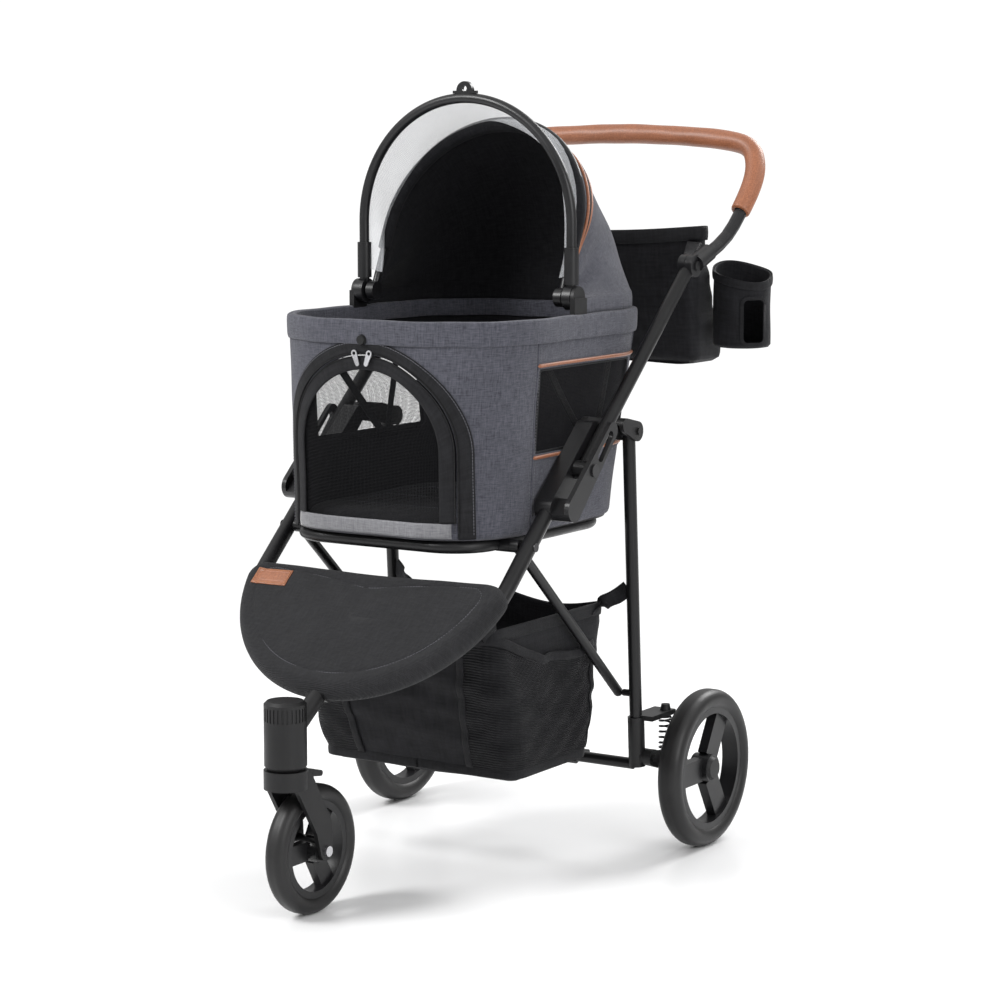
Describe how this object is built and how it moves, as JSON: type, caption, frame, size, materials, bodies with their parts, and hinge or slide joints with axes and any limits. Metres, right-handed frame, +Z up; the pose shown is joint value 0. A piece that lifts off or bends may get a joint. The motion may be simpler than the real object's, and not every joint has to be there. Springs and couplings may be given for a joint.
{
  "type": "pet stroller",
  "caption": "Three-wheeled pet stroller with a swivelling front caster, lift-off carrier with mesh door and folding canopy, storage basket, rear bag with cup pocket and a padded handle.",
  "frame": {"origin": "on the ground, at the middle of the footprint box", "axes": "+Z up, front towards -Y, +X to the side that carries the cup pocket"},
  "size_m": [0.564, 0.911, 1.09],
  "materials": {
    "frame_black": "satin powder coat",
    "plastic_black": "fine moulded texture",
    "steel": "bright zinc",
    "spring_steel": "black coil",
    "tyre": "solid foam tyre, satin",
    "grip_tan": "tan leatherette",
    "fabric_heather": "grey heather weave",
    "fabric_charcoal": "charcoal ribbed weave",
    "fabric_black": "black polyester weave",
    "mesh_black": "black open mesh",
    "mesh_grey": "fine grey insect mesh"
  },
  "bodies": {
    "front_frame": {"front_u_tube": "frame_black", "caster_arm": "plastic_black", "caster_housing": "plastic_black", "caster_cap": "plastic_black", "hub_housings": "plastic_black", "fold_pins": "steel", "leg_brackets": "plastic_black", "seat_ring": "frame_black", "ring_bolts": "steel", "front_panel": "fabric_charcoal", "panel_label": "grip_tan", "storage_basket": "fabric_black", "basket_pocket": "mesh_black"},
    "caster": {"caster_fork": "plastic_black", "caster_stem": "steel", "front_axle": "steel"},
    "swivel_lock": {"swivel_lock_lever": "plastic_black"},
    "front_wheel": {"front_rim": "plastic_black", "front_tyre": "tyre", "front_bearings": "steel"},
    "upper_frame": {"upper_tubes": "frame_black", "handle_knuckles": "plastic_black", "rear_bag": "fabric_black", "cup_pocket": "fabric_black"},
    "handle": {"handle_tube": "plastic_black", "handle_grip": "grip_tan", "handle_sockets": "plastic_black"},
    "button_left": {"handle_button_left": "plastic_black"},
    "button_right": {"handle_button_right": "plastic_black"},
    "rear_leg_frame": {"rear_legs": "frame_black", "leg_sockets": "plastic_black", "rear_crossbar": "frame_black", "spring_left": "spring_steel", "spring_right": "spring_steel"},
    "brake": {"brake_pedal": "plastic_black"},
    "braces": {"brace_links": "frame_black"},
    "arm_left": {"suspension_arm_left": "plastic_black"},
    "arm_right": {"suspension_arm_right": "plastic_black"},
    "rear_wheel_left": {"rear_rim_left": "plastic_black", "rear_tyre_left": "tyre", "hubcap_left": "plastic_black"},
    "rear_wheel_right": {"rear_rim_right": "plastic_black", "rear_tyre_right": "tyre", "hubcap_right": "plastic_black"},
    "carrier": {"carrier_shell": "fabric_heather", "carrier_rim": "plastic_black", "carrier_floor": "plastic_black", "carrier_mat": "fabric_black", "window_meshes": "mesh_black", "rim_knob": "plastic_black", "canopy_hubs": "plastic_black", "canopy_fabric": "fabric_heather"},
    "door": {"door_panel": "mesh_black", "door_pulls": "steel"},
    "bow": {"canopy_bow": "plastic_black"},
    "hoop": {"front_hoop": "plastic_black", "hoop_sleeves": "plastic_black", "pull_tab": "plastic_black", "mesh_screen": "mesh_grey"}
  },
  "joints": [
    {"name": "frame_fold", "type": "hinge", "parent": "front_frame", "child": "upper_frame", "pos_m": [0, -0.04291, 0.5692], "axis": [1, 0, 0], "range_deg": [0, 155], "deforming": ["rear_bag", "storage_basket", "basket_pocket"]},
    {"name": "rear_leg_fold", "type": "hinge", "parent": "front_frame", "child": "rear_leg_frame", "pos_m": [0, 0.105, 0.608], "axis": [-1, 0, 0], "range_deg": [0, 44]},
    {"name": "brace_fold", "type": "hinge", "parent": "front_frame", "child": "braces", "pos_m": [0, -0.14538, 0.4753], "axis": [-1, 0, 0], "range_deg": [0, 50]},
    {"name": "caster_swivel", "type": "hinge", "parent": "front_frame", "child": "caster", "pos_m": [0, -0.422, 0.204], "axis": [0, 0, 1], "continuous": true},
    {"name": "swivel_lock_lift", "type": "hinge", "parent": "caster", "child": "swivel_lock", "pos_m": [0, -0.384, 0.192], "axis": [1, 0, 0], "range_deg": [0, 20]},
    {"name": "front_wheel_spin", "type": "hinge", "parent": "caster", "child": "front_wheel", "pos_m": [0, -0.369, 0.0865], "axis": [1, 0, 0], "continuous": true},
    {"name": "handle_tilt", "type": "hinge", "parent": "upper_frame", "child": "handle", "pos_m": [0, 0.2484, 0.8315], "axis": [1, 0, 0], "range_deg": [0, 50]},
    {"name": "button_left_press", "type": "slide", "parent": "handle", "child": "button_left", "axis": [1, 0, 0], "range_m": [0, 0.002], "stiffness_N_per_m": 800, "springref_m": -0.001},
    {"name": "button_right_press", "type": "slide", "parent": "handle", "child": "button_right", "axis": [-1, 0, 0], "range_m": [0, 0.002], "stiffness_N_per_m": 800, "springref_m": -0.001},
    {"name": "brake_press", "type": "hinge", "parent": "rear_leg_frame", "child": "brake", "pos_m": [0, 0.135, 0.128], "axis": [-1, 0, 0], "range_deg": [0, 25]},
    {"name": "suspension_left", "type": "hinge", "parent": "rear_leg_frame", "child": "arm_left", "pos_m": [-0.2245, 0.137, 0.14], "axis": [1, 0, 0], "range_deg": [0, 5], "stiffness_Nm_per_rad": 80, "springref_deg": -3.44, "deforming": ["spring_left"]},
    {"name": "suspension_right", "type": "hinge", "parent": "rear_leg_frame", "child": "arm_right", "pos_m": [0.2245, 0.137, 0.14], "axis": [1, 0, 0], "range_deg": [0, 5], "stiffness_Nm_per_rad": 80, "springref_deg": -3.44, "deforming": ["spring_right"]},
    {"name": "rear_wheel_left_spin", "type": "hinge", "parent": "arm_left", "child": "rear_wheel_left", "pos_m": [-0.264, 0.225, 0.1135], "axis": [1, 0, 0], "continuous": true},
    {"name": "rear_wheel_right_spin", "type": "hinge", "parent": "arm_right", "child": "rear_wheel_right", "pos_m": [0.264, 0.225, 0.1135], "axis": [1, 0, 0], "continuous": true},
    {"name": "carrier_lift", "type": "slide", "parent": "front_frame", "child": "carrier", "axis": [0, 0, 1], "range_m": [0, 0.15]},
    {"name": "door_drop", "type": "hinge", "parent": "carrier", "child": "door", "pos_m": [0, -0.241, 0.507], "axis": [1, 0, 0], "range_deg": [0, 100]},
    {"name": "canopy_fold", "type": "hinge", "parent": "carrier", "child": "bow", "pos_m": [0, 0.004, 0.797], "axis": [-1, 0, 0], "range_deg": [0, 56], "deforming": ["canopy_fabric"]},
    {"name": "hoop_swing", "type": "hinge", "parent": "bow", "child": "hoop", "pos_m": [0, 0.004, 0.797], "axis": [1, 0, 0], "range_deg": [0, 88], "deforming": ["mesh_screen"]}
  ],
  "couplings": [
    {"joint": "rear_leg_fold", "follows": "frame_fold", "ratio": 0.28387},
    {"joint": "brace_fold", "follows": "frame_fold", "ratio": 0.32258}
  ]
}
